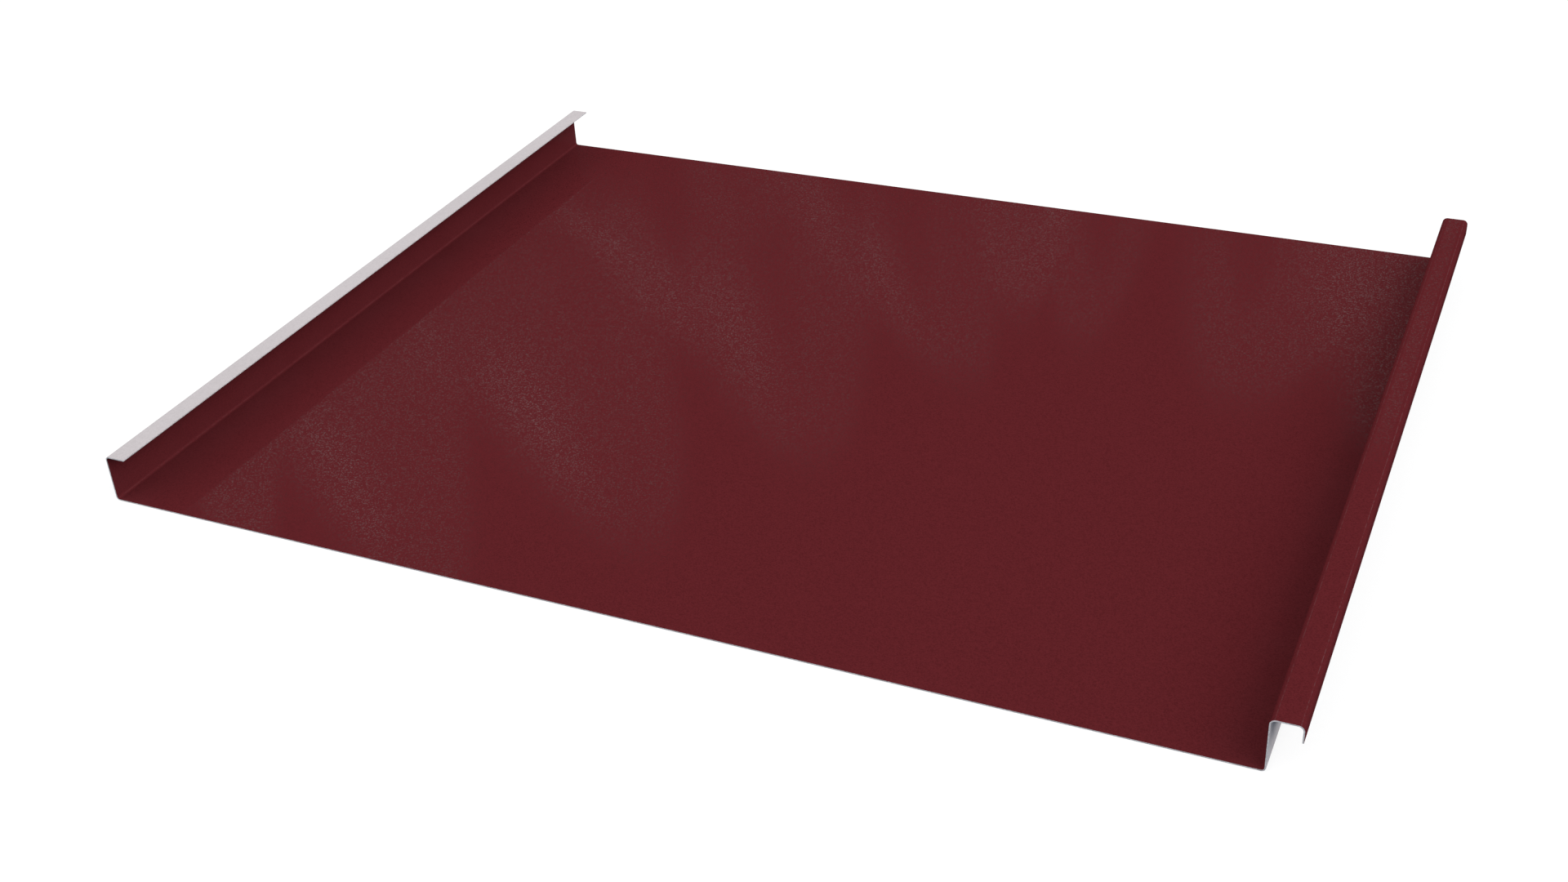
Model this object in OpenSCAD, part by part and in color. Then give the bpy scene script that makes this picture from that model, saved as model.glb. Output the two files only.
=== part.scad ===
// Double-lock standing seam roof panel: one strip of coated steel with five folds.
// It lies as laid on a flat deck. X runs across the pan, Y along the seams and Z up.
// The origin is the middle of the pan's underside.

/* [Strip] */
// Length of the panel along its seams
panel_length = 450; // [200:10:6000]
// Thickness of the coated sheet
sheet = 0.6; // [0.4:0.05:1]

/* [Pan] */
// Width of the pan over the outer faces of its two upstands
pan_width = 550; // [200:1:800]
// Inside radius of the folds at the pan's two sides
pan_fold = 1; // [0.4:0.1:3]

/* [Undercloak] */
// Height of the undercloak, from the pan's underside to the top of its flange
undercloak_height = 24.6; // [18:0.1:45]
// Reach of its flange, from the upstand's outer face to the tip
undercloak_reach = 11; // [8:0.1:18]
// Inside radius of the flange's fold
undercloak_fold = 1.4; // [0.4:0.1:3]

/* [Overcloak] */
// Room between the next panel's undercloak and the underside of the cap
rise_gap = 0.4; // [0:0.1:2]
// Room between the tip of the next panel's flange and the lip
reach_gap = 0.9; // [0:0.1:3]
// Drop of the lip, from the top of the cap to the lip's edge
lip_drop = 8; // [5:0.1:18]
// Inside radius of the two folds of the cap
overcloak_fold = 2; // [0.4:0.1:3]

/* [Hidden] */
$fn = 96;

// The cap and the lip close over the next panel's undercloak with the room named above
cap_height = undercloak_height + rise_gap + sheet;
cap_reach = undercloak_reach + reach_gap + sheet;

// What a fold takes from the outside size of the flats on either side of it
function setback(fold) = fold + sheet;

// Flats of the strip, in order from the tip of the undercloak's flange to the edge of the lip
FLATS = [
    undercloak_reach - setback(undercloak_fold),
    undercloak_height - setback(undercloak_fold) - setback(pan_fold),
    pan_width - 2 * setback(pan_fold),
    cap_height - setback(pan_fold) - setback(overcloak_fold),
    cap_reach - sheet - 2 * overcloak_fold,
    lip_drop - setback(overcloak_fold)
];

// Folds between the flats, as [inside radius, turn]: 1 folds the top coat in, -1 folds it out
FOLDS = [
    [undercloak_fold, 1],
    [pan_fold, 1],
    [pan_fold, 1],
    [overcloak_fold, -1],
    [overcloak_fold, -1]
];

// A square fold of the strip, which comes in along +X with its back coat on the X axis
module fold(radius, turn) {
    inward = turn > 0;
    translate([0, inward ? sheet + radius : -radius])
        intersection() {
            difference() {
                circle(radius + sheet);
                circle(radius);
            }
            translate([0, inward ? -radius - sheet : 0])
                square(radius + sheet);
        }
}

// Section of the strip from one of its flats on, folded as it goes
module folded_section(flat = 0) {
    square([FLATS[flat], sheet]);
    if (flat < len(FOLDS)) {
        radius = FOLDS[flat][0];
        turn = FOLDS[flat][1];
        advance = turn > 0 ? radius + sheet : radius;
        translate([FLATS[flat], 0]) {
            fold(radius, turn);
            translate([advance, turn * advance])
                rotate(90 * turn)
                    folded_section(flat + 1);
        }
    }
}

// The panel: its section, drawn from the flange's tip, and run along the seams
module roof_panel() {
    color([0.37, 0.13, 0.16])
        rotate([90, 0, 0])
            linear_extrude(height = panel_length, center = true)
                translate([undercloak_reach - pan_width / 2, undercloak_height])
                    rotate(180)
                        folded_section();
}

roof_panel();
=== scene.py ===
# %% [markdown]
# # A standing seam roof panel
# One strip of coated steel, folded five times: a flat pan, a low upstand with an inward flange on the
# left, and a slightly taller one with a hooked cap on the right. The finish is a matt wine red top
# coat, a light grey back coat and bare metal where the shears cut the sheet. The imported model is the
# frame: it gives the place and the size, and everything here is built around it.

# %% Fixed frame
import math
from collections import namedtuple

import bmesh
import bpy
from mathutils import Matrix, Vector


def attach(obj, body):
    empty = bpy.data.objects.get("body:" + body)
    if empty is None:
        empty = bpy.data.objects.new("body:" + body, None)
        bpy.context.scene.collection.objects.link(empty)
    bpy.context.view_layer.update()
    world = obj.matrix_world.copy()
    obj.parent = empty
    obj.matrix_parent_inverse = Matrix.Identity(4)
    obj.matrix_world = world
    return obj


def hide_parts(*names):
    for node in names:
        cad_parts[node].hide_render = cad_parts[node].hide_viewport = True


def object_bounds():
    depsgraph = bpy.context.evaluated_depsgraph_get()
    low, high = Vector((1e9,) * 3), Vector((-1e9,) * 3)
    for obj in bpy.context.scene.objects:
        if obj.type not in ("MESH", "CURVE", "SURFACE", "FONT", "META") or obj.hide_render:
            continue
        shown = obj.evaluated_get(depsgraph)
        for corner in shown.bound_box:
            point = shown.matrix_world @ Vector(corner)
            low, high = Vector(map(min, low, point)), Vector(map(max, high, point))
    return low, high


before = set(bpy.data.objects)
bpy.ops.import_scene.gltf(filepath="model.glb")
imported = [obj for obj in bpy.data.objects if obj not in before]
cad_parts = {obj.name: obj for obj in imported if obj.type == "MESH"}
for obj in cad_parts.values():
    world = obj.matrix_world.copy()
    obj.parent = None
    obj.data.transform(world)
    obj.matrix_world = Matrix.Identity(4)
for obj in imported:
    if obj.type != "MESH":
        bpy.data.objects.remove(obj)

cad_low, cad_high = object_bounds()
print("frame box in mm:", [round(v * 1000, 1) for v in (*cad_low, *cad_high)])

# %% [markdown]
# The camera comes first, because every other choice is judged through it. It stands in front of the
# panel's near end, to the right and above, and looks down along the seams. Its place, its three
# angles and its lens are those at which the solid's edges fall on the edges in the photograph. A
# camera at rest looks straight down, so it is tipped up, turned round the vertical, and rolled.

# %% Camera
CAMERA_PLACE = Vector((0.3532, -0.7786, 0.4873))
CAMERA_AZIMUTH = 25.96
CAMERA_ELEVATION = 31.72
CAMERA_ROLL = -3.57
CAMERA_LENS = 43.52
SENSOR_WIDTH = 36.0
NEAREST_SEEN = 0.01


def make_camera():
    data = bpy.data.cameras.new("camera")
    data.lens = CAMERA_LENS
    data.sensor_width = SENSOR_WIDTH
    data.clip_start = NEAREST_SEEN
    camera = bpy.data.objects.new("camera", data)
    bpy.context.scene.collection.objects.link(camera)
    turn = Matrix.Rotation(math.radians(CAMERA_AZIMUTH), 4, "Z")
    tip = Matrix.Rotation(math.radians(90 - CAMERA_ELEVATION), 4, "X")
    roll = Matrix.Rotation(math.radians(CAMERA_ROLL), 4, "Z")
    camera.matrix_world = Matrix.Translation(CAMERA_PLACE) @ turn @ tip @ roll
    bpy.context.scene.camera = camera
    return camera


camera = make_camera()
looks_along = camera.matrix_world.to_3x3() @ Vector((0, 0, -1))
print("camera looks along", [round(v, 3) for v in looks_along])

# %% [markdown]
# A folded sheet could be drawn as a section and swept, or cut from a block. Here it is modelled as it
# is made: a flat pan first, whose two long edges are drawn up, over and down, one stretch for each
# flat. Only the back coat's surface is modelled, and the sheet gets its thickness later, so that all
# flats and folds stay parallel. The sizes below are the section's own, and the places of the pan's
# sides come from the frame.

# %% Sizes of the section, in metres
MM = 0.001
SHEET = 0.6 * MM
PAN_FOLD = 1.4 * MM
UNDERCLOAK_HEIGHT = 24.6 * MM
UNDERCLOAK_REACH = 11.0 * MM
UNDERCLOAK_FOLD = 1.4 * MM
CAP_REACH = 12.5 * MM
OVERCLOAK_FOLD = 2.0 * MM
LIP_DROP = 8.0 * MM

pan_left = cad_low.x
pan_right = cad_high.x - CAP_REACH
lip_inside = cad_high.x - SHEET
cap_underside = cad_high.z - SHEET
near_end, far_end = cad_low.y, cad_high.y
print("pan width in mm:", round((pan_right - pan_left) / MM, 2))

# %% [markdown]
# Edit mode works on what is selected, and each step here needs a few edges. They are picked by their
# place: both ends of an edge have to lie on the line along the seams where the next flat starts.

# %% Helpers for edit mode
NEAR = 0.01 * MM


def start_editing(piece):
    bpy.ops.object.select_all(action="DESELECT")
    piece.select_set(True)
    bpy.context.view_layer.objects.active = piece
    bpy.ops.object.mode_set(mode="EDIT")
    bpy.ops.mesh.select_mode(type="EDGE")


def select_along(piece, x, z):
    """Selects the edges that run along the seams at x and z, and says how many there are."""

    def on_line(vertex):
        return abs(vertex.co.x - x) < NEAR and abs(vertex.co.z - z) < NEAR

    mesh = bmesh.from_edit_mesh(piece.data)
    for face in mesh.faces:
        face.select_set(False)
    for edge in mesh.edges:
        edge.select_set(False)
    chosen = [edge for edge in mesh.edges if all(map(on_line, edge.verts))]
    for edge in chosen:
        edge.select_set(True)
    bmesh.update_edit_mesh(piece.data)
    return len(chosen)


def draw_out(piece, x, z, step):
    """Extrudes the edge that runs along the seams at x and z by one step."""
    count = select_along(piece, x, z)
    bpy.ops.mesh.extrude_edges_move(TRANSFORM_OT_translate={"value": step})
    print("drew out", count, "edge by", [round(v / MM, 2) for v in step], "mm")


# %% [markdown]
# The pan starts as a plane of one metre, which is sized in edit mode. Its left edge then goes up and
# inwards, which makes the undercloak and its flange. Its right edge goes up, outwards and down, which
# makes the overcloak, its cap and its lip.

# %% Pan and upstands
bpy.ops.object.select_all(action="DESELECT")
pan_middle = ((pan_left + pan_right) / 2, (near_end + far_end) / 2, 0)
bpy.ops.mesh.primitive_plane_add(size=1, location=pan_middle)
panel = bpy.context.object
panel.name = panel.data.name = "coated_panel"
start_editing(panel)
bpy.ops.mesh.select_all(action="SELECT")
pan_size = (pan_right - pan_left, far_end - near_end, 1)
bpy.ops.transform.resize(value=pan_size, center_override=pan_middle)
bpy.ops.object.mode_set(mode="OBJECT")
bpy.ops.object.transform_apply(location=True, rotation=True, scale=True)
start_editing(panel)

draw_out(panel, pan_left, 0, (0, 0, UNDERCLOAK_HEIGHT))
draw_out(panel, pan_left, UNDERCLOAK_HEIGHT, (UNDERCLOAK_REACH, 0, 0))
draw_out(panel, pan_right, 0, (0, 0, cap_underside))
draw_out(panel, pan_right, cap_underside, (lip_inside - pan_right, 0, 0))
draw_out(panel, lip_inside, cap_underside, (0, 0, SHEET - LIP_DROP))

# %% [markdown]
# A folding machine leaves a round fold. On the pan's two folds and on the undercloak's, the back coat
# is on the outside, so its radius is the inside radius plus the sheet. On the cap's two folds it is
# on the inside. A bevel of each fold's edge makes the arc, with enough steps that no facet shows. The
# list also keeps what the finish needs later: which way the fold's axis lies from the corner, and the
# top coat's radius.

# %% Folds
FOLD_STEPS = 10
ROUND_PROFILE = 0.5
# a fold: its corner's x and z, the way from there to its axis, and the radii of both coats
Fold = namedtuple("Fold", "x z way back_radius top_radius")
FOLDS = [
    Fold(pan_left, UNDERCLOAK_HEIGHT, (1, -1), UNDERCLOAK_FOLD + SHEET, UNDERCLOAK_FOLD),
    Fold(pan_left, 0, (1, 1), PAN_FOLD + SHEET, PAN_FOLD),
    Fold(pan_right, 0, (-1, 1), PAN_FOLD + SHEET, PAN_FOLD),
    Fold(pan_right, cap_underside, (1, -1), OVERCLOAK_FOLD, OVERCLOAK_FOLD + SHEET),
    Fold(lip_inside, cap_underside, (-1, -1), OVERCLOAK_FOLD, OVERCLOAK_FOLD + SHEET),
]
for fold in FOLDS:
    count = select_along(panel, fold.x, fold.z)
    bpy.ops.mesh.bevel(
        offset=fold.back_radius, segments=FOLD_STEPS, profile=ROUND_PROFILE, affect="EDGES"
    )
    print("folded", count, "edge to a back coat radius of", round(fold.back_radius / MM, 2), "mm")

# %% [markdown]
# Smooth shading blends the normals of neighbouring faces, and a wide flat beside a fold would look
# bulged. A holding edge close to each fold keeps the flat flat. A loop cut would do by hand, and
# bisect does it here, because it needs no window. Last, the faces are turned so that the back coat's
# side is the outer one, with the pan looking down.

# %% Holding edges
HOLD = 0.3 * MM


def hold_flat(axis, place):
    """Cuts an edge into whatever the plane at that place meets."""
    point, normal = [0, 0, 0], [0, 0, 0]
    point[axis] = place
    normal[axis] = 1
    bpy.ops.mesh.select_all(action="SELECT")
    bpy.ops.mesh.bisect(plane_co=point, plane_no=normal)


for fold in FOLDS:
    to_x, to_z = fold.way
    hold_flat(0, fold.x + to_x * (fold.back_radius + HOLD))
    # the level cut over the pan's left fold crosses both upstands, so its right fold needs none
    if fold.z > 0 or to_x > 0:
        hold_flat(2, fold.z + to_z * (fold.back_radius + HOLD))

bpy.ops.mesh.select_all(action="SELECT")
bpy.ops.mesh.normals_make_consistent(inside=False)
bpy.ops.object.mode_set(mode="OBJECT")


def pan_looks_up():
    return max(panel.data.polygons, key=lambda face: face.area).normal.z > 0


if pan_looks_up():
    panel.data.flip_normals()
print("faces of the back coat:", len(panel.data.polygons))
print("the pan looks", "up" if pan_looks_up() else "down")

# %% [markdown]
# Solidify gives the sheet its thickness on the top coat's side. Its material offsets put the back
# coat, the top coat and the bare cut edge on the right faces at once. Shears press the coated faces
# round a little where they cut, so a very small bevel follows on the square edges. Smoothing by angle
# then blends the steps of the folds, which turn by 9 degrees each, and leaves the cut edges crisp.

# %% Thickness and cut edges
CUT_ROUND = 0.04 * MM
SQUARE_FROM = math.radians(60)
SMOOTH_UP_TO = math.radians(15)


def finish_with(piece, kind, **settings):
    """Adds a modifier with these settings and applies it."""
    modifier = piece.modifiers.new(kind.lower(), kind)
    for name, value in settings.items():
        setattr(modifier, name, value)
    bpy.ops.object.select_all(action="DESELECT")
    piece.select_set(True)
    bpy.context.view_layer.objects.active = piece
    bpy.ops.object.modifier_apply(modifier=modifier.name)


for name in ("back coat", "top coat", "cut edge"):
    panel.data.materials.append(bpy.data.materials.new(name))
finish_with(
    panel,
    "SOLIDIFY",
    thickness=SHEET,
    offset=-1,
    use_even_offset=True,
    material_offset=1,
    material_offset_rim=2,
)
finish_with(
    panel,
    "BEVEL",
    width=CUT_ROUND,
    segments=2,
    limit_method="ANGLE",
    angle_limit=SQUARE_FROM,
)
bpy.ops.object.shade_smooth_by_angle(angle=SMOOTH_UP_TO)
print("faces of the sheet:", len(panel.data.polygons))

# %% [markdown]
# The looks are built from shader nodes, in materials, node groups and the world. A few short helpers
# keep that readable. One feeds a socket with a number or with another node's output, one adds a Math
# node, and two go from one value to another, in a straight blend or with a soft step.

# %% Helpers for nodes
# the Mix node has sockets for each kind, and these are the places of the two to mix and the result
MIX_SOCKETS = {"FLOAT": (2, 3, 0), "RGBA": (6, 7, 2)}


def feed(tree, socket, value):
    if isinstance(value, bpy.types.NodeSocket):
        tree.links.new(value, socket)
    else:
        socket.default_value = value


def maths(tree, operation, *values):
    step = tree.nodes.new("ShaderNodeMath")
    step.operation = operation
    for socket, value in zip(step.inputs, values):
        feed(tree, socket, value)
    return step.outputs[0]


def soft_step(tree, value, start, end, low=0.0, high=1.0):
    """Goes from low at start to high at end, with a soft turn at both."""
    step = tree.nodes.new("ShaderNodeMapRange")
    step.interpolation_type = "SMOOTHSTEP"
    given = {"Value": value, "From Min": start, "From Max": end, "To Min": low, "To Max": high}
    for name, number in given.items():
        feed(tree, step.inputs[name], number)
    return step.outputs["Result"]


def blend(tree, factor, first, second, kind="FLOAT"):
    """Mixes two numbers, or two colours where kind is RGBA."""
    step = tree.nodes.new("ShaderNodeMix")
    step.data_type = kind
    first_socket, second_socket, result = MIX_SOCKETS[kind]
    feed(tree, step.inputs["Factor"], factor)
    feed(tree, step.inputs[first_socket], first)
    feed(tree, step.inputs[second_socket], second)
    return step.outputs[result]


# %% [markdown]
# An effect that several finishes share is a node group: built once, and placed in each material with
# its own values. Its sockets are made through the group's interface.

# %% Helpers for node groups
def new_group(name, inputs, outputs):
    """A shader node group whose sockets are all plain values."""
    tree = bpy.data.node_groups.new(name, "ShaderNodeTree")
    for socket, value in inputs.items():
        made = tree.interface.new_socket(socket, in_out="INPUT", socket_type="NodeSocketFloat")
        made.default_value = value
    for socket in outputs:
        tree.interface.new_socket(socket, in_out="OUTPUT", socket_type="NodeSocketFloat")
    group_in = tree.nodes.new("NodeGroupInput")
    group_out = tree.nodes.new("NodeGroupOutput")
    return tree, group_in.outputs, group_out.inputs


def place_group(tree, group, values):
    step = tree.nodes.new("ShaderNodeGroup")
    step.node_tree = group
    for name, value in values.items():
        feed(tree, step.inputs[name], value)
    return step.outputs


def object_place(tree):
    """The object's own coordinates of the surface, in metres, as a vector and as x, y and z."""
    vector = tree.nodes.new("ShaderNodeTexCoord").outputs["Object"]
    split = tree.nodes.new("ShaderNodeSeparateXYZ")
    tree.links.new(vector, split.inputs[0])
    return vector, split.outputs["X"], split.outputs["Y"], split.outputs["Z"]


# %% [markdown]
# A matt coil coating isn't even. Close up it is a field of specks: most are chalky and pale, and a
# few, where a grain of the matting agent is missing, are deeper in colour and still mirror. A Voronoi
# texture gives each speck a cell with a chance value of its own, which sets its shade and its gloss.
# A noise texture adds the slow unevenness of the roller, and another the skin's relief. All read the
# object's own coordinates, so the specks keep their real size on every flat.

# %% Specks of the coating
SPECK_SIZE = 0.5 * MM
DULL_SPECK, MIRROR_SPECK = 0.10, 2.9
MIRRORS_FROM, MIRRORS_FULLY = 0.74, 0.94
ROLLER_SCALE = 9.0
SKIN_SCALE = 0.6
speck_tree, speck_in, speck_out = new_group(
    "coat specks",
    {"Size": SPECK_SIZE, "Contrast": 0.1, "Unevenness": 0.01},
    ("Shade", "Gloss", "Height"),
)
where, *_ = object_place(speck_tree)


def speck_texture(kind, scale):
    texture = speck_tree.nodes.new(kind)
    speck_tree.links.new(where, texture.inputs["Vector"])
    feed(speck_tree, texture.inputs["Scale"], scale)
    return texture


per_metre = maths(speck_tree, "DIVIDE", 1.0, speck_in["Size"])
cells = speck_texture("ShaderNodeTexVoronoi", per_metre).outputs["Color"]
split = speck_tree.nodes.new("ShaderNodeSeparateColor")
speck_tree.links.new(cells, split.inputs[0])
chance = split.outputs["Red"]
cloud = speck_texture("ShaderNodeTexNoise", ROLLER_SCALE).outputs["Fac"]
skin_scale = maths(speck_tree, "MULTIPLY", per_metre, SKIN_SCALE)
skin = speck_texture("ShaderNodeTexNoise", skin_scale).outputs["Fac"]

# chance goes from 0 to 1, so the shade goes from pale at 1 to deep at -1 before its contrast
shade = maths(speck_tree, "MULTIPLY_ADD", chance, -2.0, 1.0)
shade = maths(speck_tree, "MULTIPLY_ADD", shade, speck_in["Contrast"], 1.0)
# noise keeps near a half, so it is spread wider round zero
uneven = maths(speck_tree, "MULTIPLY_ADD", cloud, 4.0, -2.0)
shade = maths(speck_tree, "MULTIPLY_ADD", uneven, speck_in["Unevenness"], shade)
gloss = soft_step(speck_tree, chance, MIRRORS_FROM, MIRRORS_FULLY, DULL_SPECK, MIRROR_SPECK)
speck_tree.links.new(shade, speck_out["Shade"])
speck_tree.links.new(gloss, speck_out["Gloss"])
speck_tree.links.new(skin, speck_out["Height"])
print("nodes in the coat specks:", len(speck_tree.nodes))

# %% [markdown]
# Folding stretches the coating on the outside of a fold and crowds it on the inside, and it goes dull
# there. Along one thin line of each fold a glint is painted: a broken row of paler dashes that stands
# in for a highlight. This could be painted on a UV map. A distance is simpler: from the fold's own
# axis for the dull strip, and from the line for the dashes, which noise breaks up.

# %% Strain and painted glint of a fold
STRAIN_FADE = 0.12 * MM
LINE_WIDTH = 0.2 * MM
DASHES_PER_METRE = 420.0
DASH_DETAIL = 3
DASH_ENDS, DASH_STARTS = 0.40, 0.56
GAP_LEVEL = 0.1
dull_and_glint_tree, dull_and_glint_in, dull_and_glint_out = new_group(
    "fold strain and painted glint",
    {"Axis X": 0.0, "Axis Z": 0.0, "Radius": 1 * MM, "Line X": 0.0, "Line Z": 0.0},
    ("Strain", "Line"),
)
where, place_x, _, place_z = object_place(dull_and_glint_tree)


def distance_from(x, z):
    """How far the surface is from the line along the seams that these two sockets place."""
    off_x = maths(dull_and_glint_tree, "SUBTRACT", place_x, dull_and_glint_in[x])
    off_z = maths(dull_and_glint_tree, "SUBTRACT", place_z, dull_and_glint_in[z])
    z_squared = maths(dull_and_glint_tree, "MULTIPLY", off_z, off_z)
    return maths(dull_and_glint_tree, "SQRT", maths(dull_and_glint_tree, "MULTIPLY_ADD", off_x, off_x, z_squared))


off_fold = maths(dull_and_glint_tree, "SUBTRACT", distance_from("Axis X", "Axis Z"), dull_and_glint_in["Radius"])
dull_and_glint_tree.links.new(soft_step(dull_and_glint_tree, off_fold, STRAIN_FADE, 0.0), dull_and_glint_out["Strain"])

dashes = dull_and_glint_tree.nodes.new("ShaderNodeTexNoise")
dashes.inputs["Detail"].default_value = DASH_DETAIL
dashes.inputs["Scale"].default_value = DASHES_PER_METRE
dull_and_glint_tree.links.new(where, dashes.inputs["Vector"])
# the line is a painted glint: paler dashes that stand in for a highlight along the fold
broken = soft_step(dull_and_glint_tree, dashes.outputs["Fac"], DASH_ENDS, DASH_STARTS, GAP_LEVEL, 1.0)
line = soft_step(dull_and_glint_tree, distance_from("Line X", "Line Z"), LINE_WIDTH, LINE_WIDTH / 3)
dull_and_glint_tree.links.new(maths(dull_and_glint_tree, "MULTIPLY", line, broken), dull_and_glint_out["Line"])
print("nodes in the fold strain and painted glint:", len(dull_and_glint_tree.nodes))

# %% [markdown]
# All three finishes are one recipe with other values. The Principled shader's own colour is the
# chalky body of the finish, with no gloss of its own, and its coat layer is the thin sheen on top,
# whose weight changes from speck to speck. A rough skin hides its own gloss from a very low angle, so
# the sheen goes as the surface turns edge-on, which a Layer Weight node tells. What is the same all
# over a surface, such as the roughness, is set on the shader's own socket.

# %% Recipe for a finish
BODY_ROUGHNESS = 0.6
SHEEN_INDEX = 1.5
SHEEN_FADES, SHEEN_GONE = 0.7, 0.92


def finish(name, colour, contrast, unevenness, sheen, sheen_roughness, relief):
    """Makes the nodes of a finish, and hands back its tree and shader."""
    material = bpy.data.materials[name]
    material.use_nodes = True
    tree = material.node_tree
    shader = tree.nodes["Principled BSDF"]
    shader.inputs["Specular IOR Level"].default_value = 0.0
    shader.inputs["Roughness"].default_value = BODY_ROUGHNESS
    shader.inputs["Coat Roughness"].default_value = sheen_roughness
    shader.inputs["Coat IOR"].default_value = SHEEN_INDEX

    values = {"Size": SPECK_SIZE, "Contrast": contrast, "Unevenness": unevenness}
    specks = place_group(tree, speck_tree, values)
    tint = tree.nodes.new("ShaderNodeVectorMath")
    tint.operation = "SCALE"
    tint.inputs[0].default_value = colour
    tree.links.new(specks["Shade"], tint.inputs["Scale"])
    tree.links.new(tint.outputs[0], shader.inputs["Base Color"])

    edge_on = tree.nodes.new("ShaderNodeLayerWeight").outputs["Facing"]
    shown = soft_step(tree, edge_on, SHEEN_FADES, SHEEN_GONE, sheen, 0.0)
    tree.links.new(maths(tree, "MULTIPLY", specks["Gloss"], shown), shader.inputs["Coat Weight"])

    bump = tree.nodes.new("ShaderNodeBump")
    bump.inputs["Distance"].default_value = relief
    tree.links.new(specks["Height"], bump.inputs["Height"])
    tree.links.new(bump.outputs["Normal"], shader.inputs["Normal"])
    return tree, shader


# %% [markdown]
# The top coat gets distinct specks and a thin, sharp sheen, so the shapes that it mirrors keep their
# outlines. The back coat is more even in shade, and its sheen is softer. Metal torn by the shears is
# the least even and the roughest of the three. All colours are linear, as the shader reads them.

# %% The three finishes
TOP_COAT = (0.1115, 0.0157, 0.0194)
BACK_COAT = (0.607, 0.566, 0.580)
CUT_METAL = (0.62, 0.60, 0.62)
top_tree, top_shader = finish(
    "top coat", TOP_COAT, contrast=0.12, unevenness=0.01,
    sheen=0.33, sheen_roughness=0.06, relief=0.010 * MM,
)
back_tree, back_shader = finish(
    "back coat", BACK_COAT, contrast=0.05, unevenness=0.02,
    sheen=0.20, sheen_roughness=0.30, relief=0.010 * MM,
)
finish(
    "cut edge", CUT_METAL, contrast=0.20, unevenness=0.05,
    sheen=0.20, sheen_roughness=0.40, relief=0.015 * MM,
)
print("finishes:", [slot.name for slot in panel.data.materials])

# %% [markdown]
# The folds' strain goes on both coated faces, each with its own radius. The painted glint line lies
# part way round the fold, at an angle that is counted from straight up, and shows as a share of its
# pale colour. Where a fold turns the top coat inwards, as beside the pan, the line lies in the middle
# of the hollow, and it is fainter than on the cap.

# %% Strain and painted glints on the coats
# the painted glint line's angle in degrees and its share, for each fold in turn
LINES = [(-45, 0.09), (-130, 0.09), (130, 0.09), (-17, 0.16), (20, 0.23)]
# colours of the painted glint lines on the top coat and on the back coat
PAINTED_GLINT_TOP = (0.20, 0.15, 0.155, 1)
PAINTED_GLINT_BACK = (0.72, 0.70, 0.71, 1)
STRAIN_DULLS = 0.97


def dull_sheen(tree, shader, mask, share):
    """Takes this share off a finish's sheen where the mask is 1."""
    sheen = shader.inputs["Coat Weight"].links[0].from_socket
    kept = maths(tree, "MULTIPLY_ADD", mask, -share, 1.0)
    tree.links.new(maths(tree, "MULTIPLY", sheen, kept), shader.inputs["Coat Weight"])


def add_colour(tree, shader, mask, colour):
    """Blends a colour over a finish's own, as far as the mask says."""
    own = shader.inputs["Base Color"].links[0].from_socket
    tree.links.new(blend(tree, mask, own, colour, "RGBA"), shader.inputs["Base Color"])


def dull_and_paint_glints(tree, shader, radius_of, glint_colour):
    """Dulls a coat at all the folds and paints a glint line on each; radius_of picks a fold's radius.
    """
    strain, line = 0.0, 0.0
    for fold, (angle, share) in zip(FOLDS, LINES):
        to_x, to_z = fold.way
        axis_x = fold.x + to_x * fold.back_radius
        axis_z = fold.z + to_z * fold.back_radius
        radius, turn = radius_of(fold), math.radians(angle)
        values = {"Axis X": axis_x, "Axis Z": axis_z, "Radius": radius}
        values["Line X"] = axis_x + radius * math.sin(turn)
        values["Line Z"] = axis_z + radius * math.cos(turn)
        masks = place_group(tree, dull_and_glint_tree, values)
        strain = maths(tree, "MAXIMUM", strain, masks["Strain"])
        line = maths(tree, "MAXIMUM", line, maths(tree, "MULTIPLY", masks["Line"], share))
    # paints the glint lines over the coat's own colour
    add_colour(tree, shader, line, glint_colour)
    dull_sheen(tree, shader, strain, STRAIN_DULLS)


dull_and_paint_glints(top_tree, top_shader, lambda fold: fold.top_radius, PAINTED_GLINT_TOP)
dull_and_paint_glints(back_tree, back_shader, lambda fold: fold.back_radius, PAINTED_GLINT_BACK)
print("nodes in the top coat:", len(top_tree.nodes))

# %% [markdown]
# A paler tint is painted on the top coat where shade falls: on the pan close beside the upstands
# and, a little thinner, on the faces of the upstands that look at the pan. It is painted fill light,
# so thin that it only makes the colour there a little paler. On those faces most of the sheen is also
# taken off, so that they don't mirror the white floor past the panel's end. Its mask is the distance
# from the pan's middle, cut off below the cap, with noise for patches.

# %% Painted fill light beside the upstands
# painted fill light: a paler tint that lifts the shade on the pan and the upstands beside it
PAINTED_FILL_TINT = (0.43, 0.17, 0.20, 1)
PAINTED_FILL_SHARE = 0.020
# distances from the pan's middle
PAINTED_FILL_STARTS, PAINTED_FILL_FULL, UPSTAND_FACE = 245 * MM, 272 * MM, 274 * MM
# heights over the pan's underside
MASK_FULL_BELOW, MASK_ENDS_AT = 21.0 * MM, 23.5 * MM
UPSTAND_THINNER = 0.3
UPSTAND_SHEEN_DULLS = 0.9
PATCH_SCALE = 40.0
PATCH_DETAIL = 4


def on_top(operation, *values):
    return maths(top_tree, operation, *values)


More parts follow.
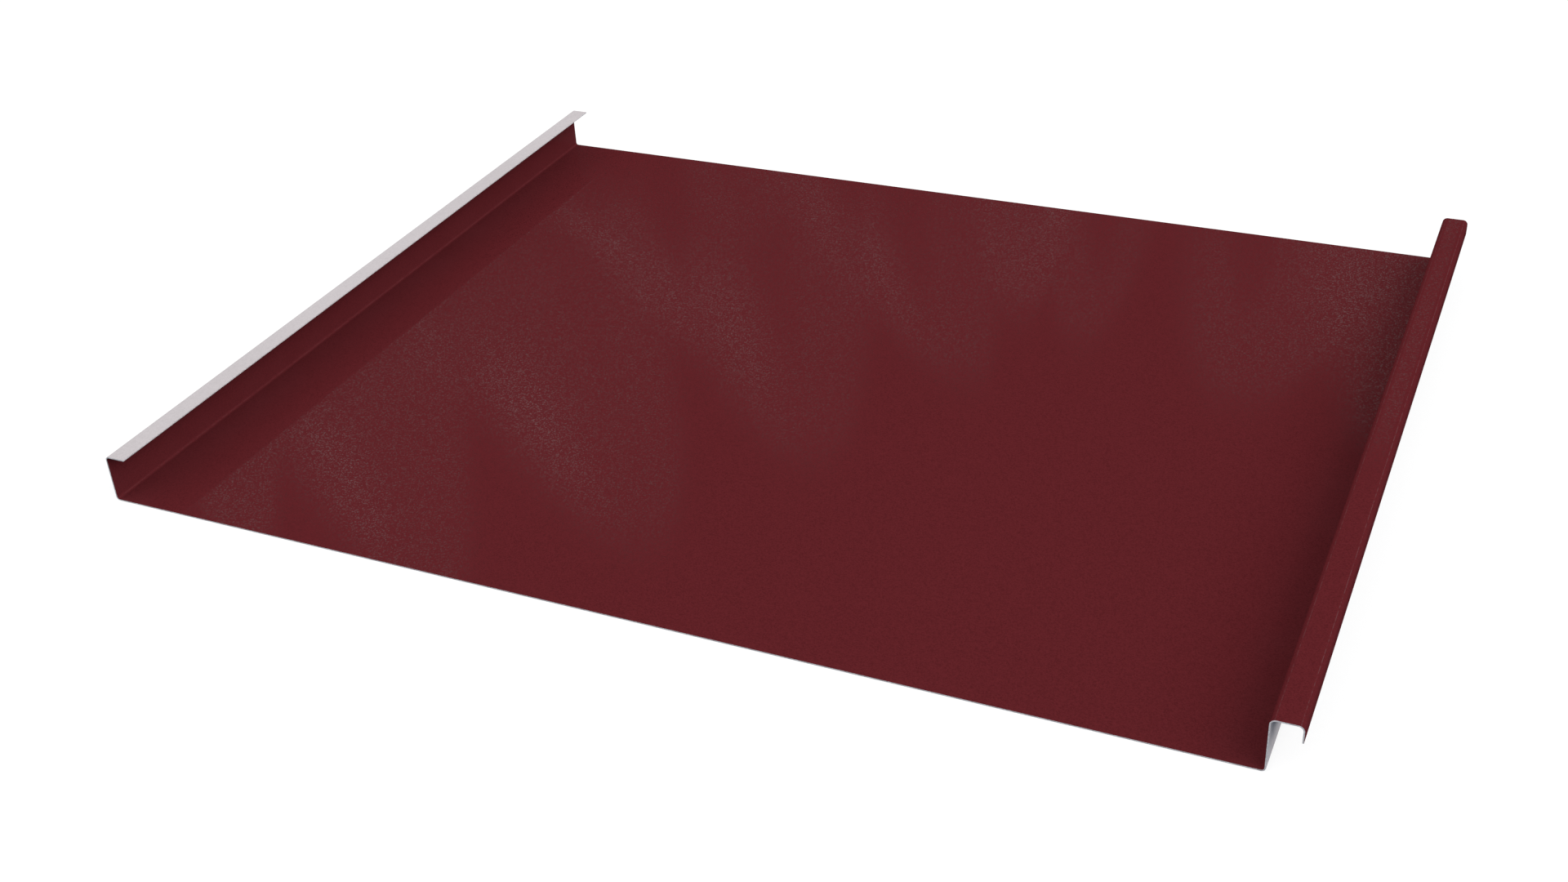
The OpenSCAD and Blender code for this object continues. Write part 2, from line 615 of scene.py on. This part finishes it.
where, place_x, _, place_z = object_place(top_tree)
from_middle = on_top("ABSOLUTE", place_x)
to_side = soft_step(top_tree, from_middle, PAINTED_FILL_STARTS, PAINTED_FILL_FULL)
on_upstand = soft_step(top_tree, from_middle, PAINTED_FILL_FULL, UPSTAND_FACE)
below_cap = soft_step(top_tree, place_z, MASK_ENDS_AT, MASK_FULL_BELOW)
thinned = on_top("MULTIPLY_ADD", on_upstand, -UPSTAND_THINNER, 1.0)

patches = top_tree.nodes.new("ShaderNodeTexNoise")
patches.inputs["Scale"].default_value = PATCH_SCALE
patches.inputs["Detail"].default_value = PATCH_DETAIL
top_tree.links.new(where, patches.inputs["Vector"])
painted_fill = on_top("MULTIPLY", on_top("MULTIPLY", to_side, thinned), below_cap)
painted_fill = on_top("MULTIPLY", painted_fill, patches.outputs["Fac"])
# noise keeps near a half, so twice the share gives the share
painted_fill = on_top("MULTIPLY", painted_fill, 2 * PAINTED_FILL_SHARE)
# paints the paler tint, a painted fill light, into the top coat's colour
add_colour(top_tree, top_shader, painted_fill, PAINTED_FILL_TINT)
dull_sheen(top_tree, top_shader, on_top("MULTIPLY", on_upstand, below_cap), UPSTAND_SHEEN_DULLS)
print("chalk share beside the upstands:", PAINTED_FILL_SHARE)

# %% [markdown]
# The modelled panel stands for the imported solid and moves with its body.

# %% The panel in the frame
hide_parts("roof_panel")
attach(panel, "root")
print("piece:", panel.name)

# %% [markdown]
# The photograph shows the panel on pure white. A lamp strong enough to burn a floor out to white
# would burn out the flange too, so the floor is white only to the eye. Light Path tells which ray
# arrives. A camera ray, or one that a glossy or clear surface sends on, finds a floor that glows to
# white and still takes a faint shadow. A ray that only gathers light finds a dim, cool floor, which
# gives the inside of the hook the shade and the hue that it has in the photograph.

# %% Floor
FLOOR_SIZE = 40
FLOOR_DROP = 0.02 * MM
FLOOR_BOUNCE = (0.072, 0.120, 0.168, 1)
FLOOR_SEEN = (0.30, 0.30, 0.30, 1)
FLOOR_GLOW = 0.78
WHITE = (1, 1, 1, 1)


def ray_is(tree, *kinds):
    """1 for a ray of any of these kinds, and 0 for others."""
    path = tree.nodes.new("ShaderNodeLightPath").outputs
    found = path[f"Is {kinds[0]} Ray"]
    for kind in kinds[1:]:
        found = maths(tree, "MAXIMUM", found, path[f"Is {kind} Ray"])
    return found


bpy.ops.object.select_all(action="DESELECT")
bpy.ops.mesh.primitive_plane_add(size=FLOOR_SIZE, location=(0, 0, cad_low.z - FLOOR_DROP))
floor = bpy.context.object
floor.name = "floor"
paper = bpy.data.materials.new("floor paper")
paper.use_nodes = True
paper_tree = paper.node_tree
paper_in = paper_tree.nodes["Principled BSDF"].inputs
paper_in["Roughness"].default_value = 1
paper_in["Specular IOR Level"].default_value = 0
paper_in["Emission Color"].default_value = WHITE
seen = ray_is(paper_tree, "Camera", "Glossy", "Transmission")
feed(paper_tree, paper_in["Base Color"], blend(paper_tree, seen, FLOOR_BOUNCE, FLOOR_SEEN, "RGBA"))
feed(paper_tree, paper_in["Emission Strength"], maths(paper_tree, "MULTIPLY", seen, FLOOR_GLOW))
floor.data.materials.append(paper)
print("floor at", round(floor.location.z / MM, 3), "mm")

# %% [markdown]
# The light is that of a soft studio: an even dome, which the world gives, a large box to the right
# and a weaker one to the left. The upstands keep the boxes' light off the pan beside them, and that
# gives the dark bands along both sides. A box's level is the share of full light that it gives the
# pan, so the levels and the dome add up to about one, and a colour renders about as it is written.
# The boxes are kept out of reflections, because the coat in the photograph shows none of them.

# %% Soft boxes
BOX_DISTANCE = 8.0


def soft_box(name, azimuth, elevation, width, height, level):
    """An area lamp that faces the panel from a compass angle, counted from the far end."""
    data = bpy.data.lights.new(name, "AREA")
    data.shape = "RECTANGLE"
    data.size, data.size_y = width, height
    around, up = math.radians(azimuth), math.radians(elevation)
    # at this distance and slant, such a power gives the pan this level
    data.energy = level * math.pi**2 * BOX_DISTANCE**2 / math.sin(up)
    lamp = bpy.data.objects.new(name, data)
    bpy.context.scene.collection.objects.link(lamp)
    away = Vector((math.sin(around) * math.cos(up), math.cos(around) * math.cos(up), math.sin(up)))
    lamp.location = away * BOX_DISTANCE
    lamp.rotation_euler = away.to_track_quat("Z", "Y").to_euler()
    lamp.visible_camera = lamp.visible_glossy = False
    print(name, "gives", round(data.energy), "W")


soft_box("left box", azimuth=-115, elevation=44, width=9.3, height=4.3, level=0.115)
soft_box("right box", azimuth=97, elevation=42, width=10.7, height=6.1, level=0.36)

# %% [markdown]
# The far half of the pan mirrors a skyline: a row of tall pale shapes with rounded tips, some with a
# bright rim on one side, and dark gaps between. Cards could be hung in the room, but the world shader
# can draw them where only reflections look, so that they light nothing. Directions are angles there:
# azimuth round the vertical and elevation up. A card is a soft parabola that hangs down from its tip,
# keeps its width further down, and leans to one side. Its left side may carry the rim. One node group
# draws a card, and is placed once for each, and once more for each dark finger between them.

# %% A card of the skyline
# how far below its tip a card is narrowest and widest, in degrees
NARROWEST_BELOW, WIDEST_BELOW = 0.3, 6.5
# depths below the tip, from where each part of a card is faint to where it is full
TIP = (-0.5, 1.3)
FOOT, FOOT_SHARE = (12.0, 8.0), 0.5
RIM_GROWS, RIM_LEAST = (0.8, 4.2), 0.1
RIM_ENDS = (8.0, 5.0)
# the same across a card, whose sides lie at about -1 and 1
LEFT_SIDE, RIGHT_SIDE = (-1.25, -0.65), (1.2, 0.8)
RIM_PLACE, RIM_WIDTH = -0.44, 0.28
card_tree, card_in, card_out = new_group(
    "skyline card",
    {
        "Azimuth": 0, "Elevation": 0, "Centre": 0, "Top": 30,
        "Slimness": 0.5, "Lean": 0, "Inside": 0.4, "Rim": 0.5,
    },
    ("Level",),
)


def on_card(operation, *values):
    return maths(card_tree, operation, *values)


below = on_card("SUBTRACT", card_in["Top"], card_in["Elevation"])
off_centre = on_card("SUBTRACT", card_in["Azimuth"], card_in["Centre"])
off_centre = on_card("MULTIPLY_ADD", card_in["Lean"], below, off_centre)
widening = on_card("MINIMUM", on_card("MAXIMUM", below, NARROWEST_BELOW), WIDEST_BELOW)
per_degree = on_card("SQRT", on_card("DIVIDE", card_in["Slimness"], widening))
across = on_card("MULTIPLY", off_centre, per_degree)

left_side = soft_step(card_tree, across, *LEFT_SIDE)
right_side = soft_step(card_tree, across, *RIGHT_SIDE)
body = on_card("MULTIPLY", left_side, right_side)
body = on_card("MULTIPLY", body, soft_step(card_tree, below, *TIP))
inside = on_card("MULTIPLY", card_in["Inside"], soft_step(card_tree, below, *FOOT, FOOT_SHARE, 1.0))

off_rim = on_card("DIVIDE", on_card("SUBTRACT", across, RIM_PLACE), RIM_WIDTH)
rim = on_card("EXPONENT", on_card("MULTIPLY", on_card("MULTIPLY", off_rim, off_rim), -1.0))
rim = on_card("MULTIPLY", rim, card_in["Rim"])
rim = on_card("MULTIPLY", rim, soft_step(card_tree, below, *RIM_GROWS, RIM_LEAST, 1.0))
rim = on_card("MULTIPLY", rim, soft_step(card_tree, below, *RIM_ENDS))
card_tree.links.new(on_card("MULTIPLY", body, on_card("ADD", inside, rim)), card_out["Level"])
print("nodes in a card:", len(card_tree.nodes))

# %% [markdown]
# The row was placed one shape at a time, until the pan's reflections lay where they do in
# the photograph. A card's centre and top are in degrees, more slimness makes it narrower, and its
# lean carries its foot to the left. The last two values are the levels of its inside and its rim.
# Where two cards overlap, their levels add up, and a finger's level is below zero.

# %% Cards and fingers
Card = namedtuple("Card", "Centre Top Slimness Lean Inside Rim")
CARDS = [
    Card(-44.9, 33.5, 1.60, 0.00, 0.58, 0.00),
    Card(-39.0, 35.7, 0.55, 0.22, 0.46, 0.50),
    Card(-31.3, 34.9, 0.40, 0.38, 0.41, 0.60),
    Card(-30.2, 26.2, 3.00, 1.50, 0.40, 0.00),
    Card(-28.6, 29.0, 2.80, 0.66, 0.44, 0.00),
    Card(-26.8, 25.8, 0.80, 0.00, 0.27, 0.00),
    Card(-25.0, 32.7, 0.42, 0.25, 0.34, 0.45),
    Card(-19.4, 30.4, 0.55, 0.52, 0.34, 0.46),
    Card(-17.7, 28.3, 1.30, 0.00, 0.64, 0.00),
    Card(-15.7, 29.2, 1.20, -0.15, 0.34, 0.10),
    Card(-10.4, 30.7, 0.36, -0.35, 0.40, 0.00),
    Card(-4.8, 31.8, 0.36, 0.00, 0.38, 0.08),
]
FINGERS = [
    Card(-32.0, 29.5, 4.00, 0.10, -0.08, 0.00),
    Card(-31.6, 24.6, 0.80, 0.00, -0.40, 0.00),
    Card(-28.9, 26.8, 7.00, 0.15, -0.18, 0.00),
    Card(-25.4, 29.6, 6.00, 0.20, -0.15, 0.00),
    Card(-23.0, 27.2, 7.00, 0.20, -0.50, 0.00),
    Card(-20.9, 28.6, 7.00, 0.15, -0.17, 0.00),
    Card(-15.1, 27.4, 7.00, 0.00, -0.20, 0.00),
    Card(-10.2, 28.2, 4.00, 0.00, -0.25, 0.00),
]
ROW_START, ROW_END = -46.5, -1.5
print("the row has", len(CARDS), "cards and", len(FINGERS), "fingers")

# %% [markdown]
# The row spans 45 degrees and is repeated all round, so that other views of the panel show a like
# reflection. Near the horizon, what mirrors sees the white of the background. What only gathers light
# sees the dome, which grows nearly twice as bright towards its foot, and that lights the upstands
# more than the pan. The camera itself sees white.

# %% World
CARD_GLOW = 0.81
LOW_CARDS, HIGH_CARDS, LOW_SHARE = 22.0, 29.0, 0.4
HORIZON_TOP = 8.0
DOME = 0.61
DOME_FOOT = 0.50
DOME_FOOT_TOP, DOME_FOOT_FULL = 32.0, 6.0

world = bpy.data.worlds.new("studio")
bpy.context.scene.world = world
world.use_nodes = True
world.cycles.sampling_method = "NONE"
sky = world.node_tree
direction = sky.nodes.new("ShaderNodeSeparateXYZ")
sky.links.new(sky.nodes.new("ShaderNodeTexCoord").outputs["Generated"], direction.inputs[0])
azimuth = maths(sky, "DEGREES", maths(sky, "ARCTAN2", direction.outputs["X"], direction.outputs["Y"]))
azimuth = maths(sky, "WRAP", azimuth, ROW_END, ROW_START)
elevation = maths(sky, "DEGREES", maths(sky, "ARCSINE", direction.outputs["Z"]))

skyline = 0.0
for card in CARDS + FINGERS:
    values = {"Azimuth": azimuth, "Elevation": elevation, **card._asdict()}
    skyline = maths(sky, "ADD", skyline, place_group(sky, card_tree, values)["Level"])
glow = soft_step(sky, elevation, LOW_CARDS, HIGH_CARDS, LOW_SHARE * CARD_GLOW, CARD_GLOW)
horizon = soft_step(sky, elevation, HORIZON_TOP, HORIZON_TOP / 2)
mirrored = maths(sky, "MAXIMUM", maths(sky, "MULTIPLY", skyline, glow), horizon)
dome_foot = soft_step(sky, elevation, DOME_FOOT_TOP, DOME_FOOT_FULL, 0.0, DOME_FOOT)
dome = maths(sky, "ADD", dome_foot, DOME)
level = blend(sky, ray_is(sky, "Glossy", "Transmission"), dome, mirrored)
level = blend(sky, ray_is(sky, "Camera"), level, 1.0)
background = sky.nodes["Background"].inputs
background["Color"].default_value = WHITE
feed(sky, background["Strength"], level)
bpy.context.scene.view_settings.view_transform = "Standard"
print("nodes in the world:", len(sky.nodes))
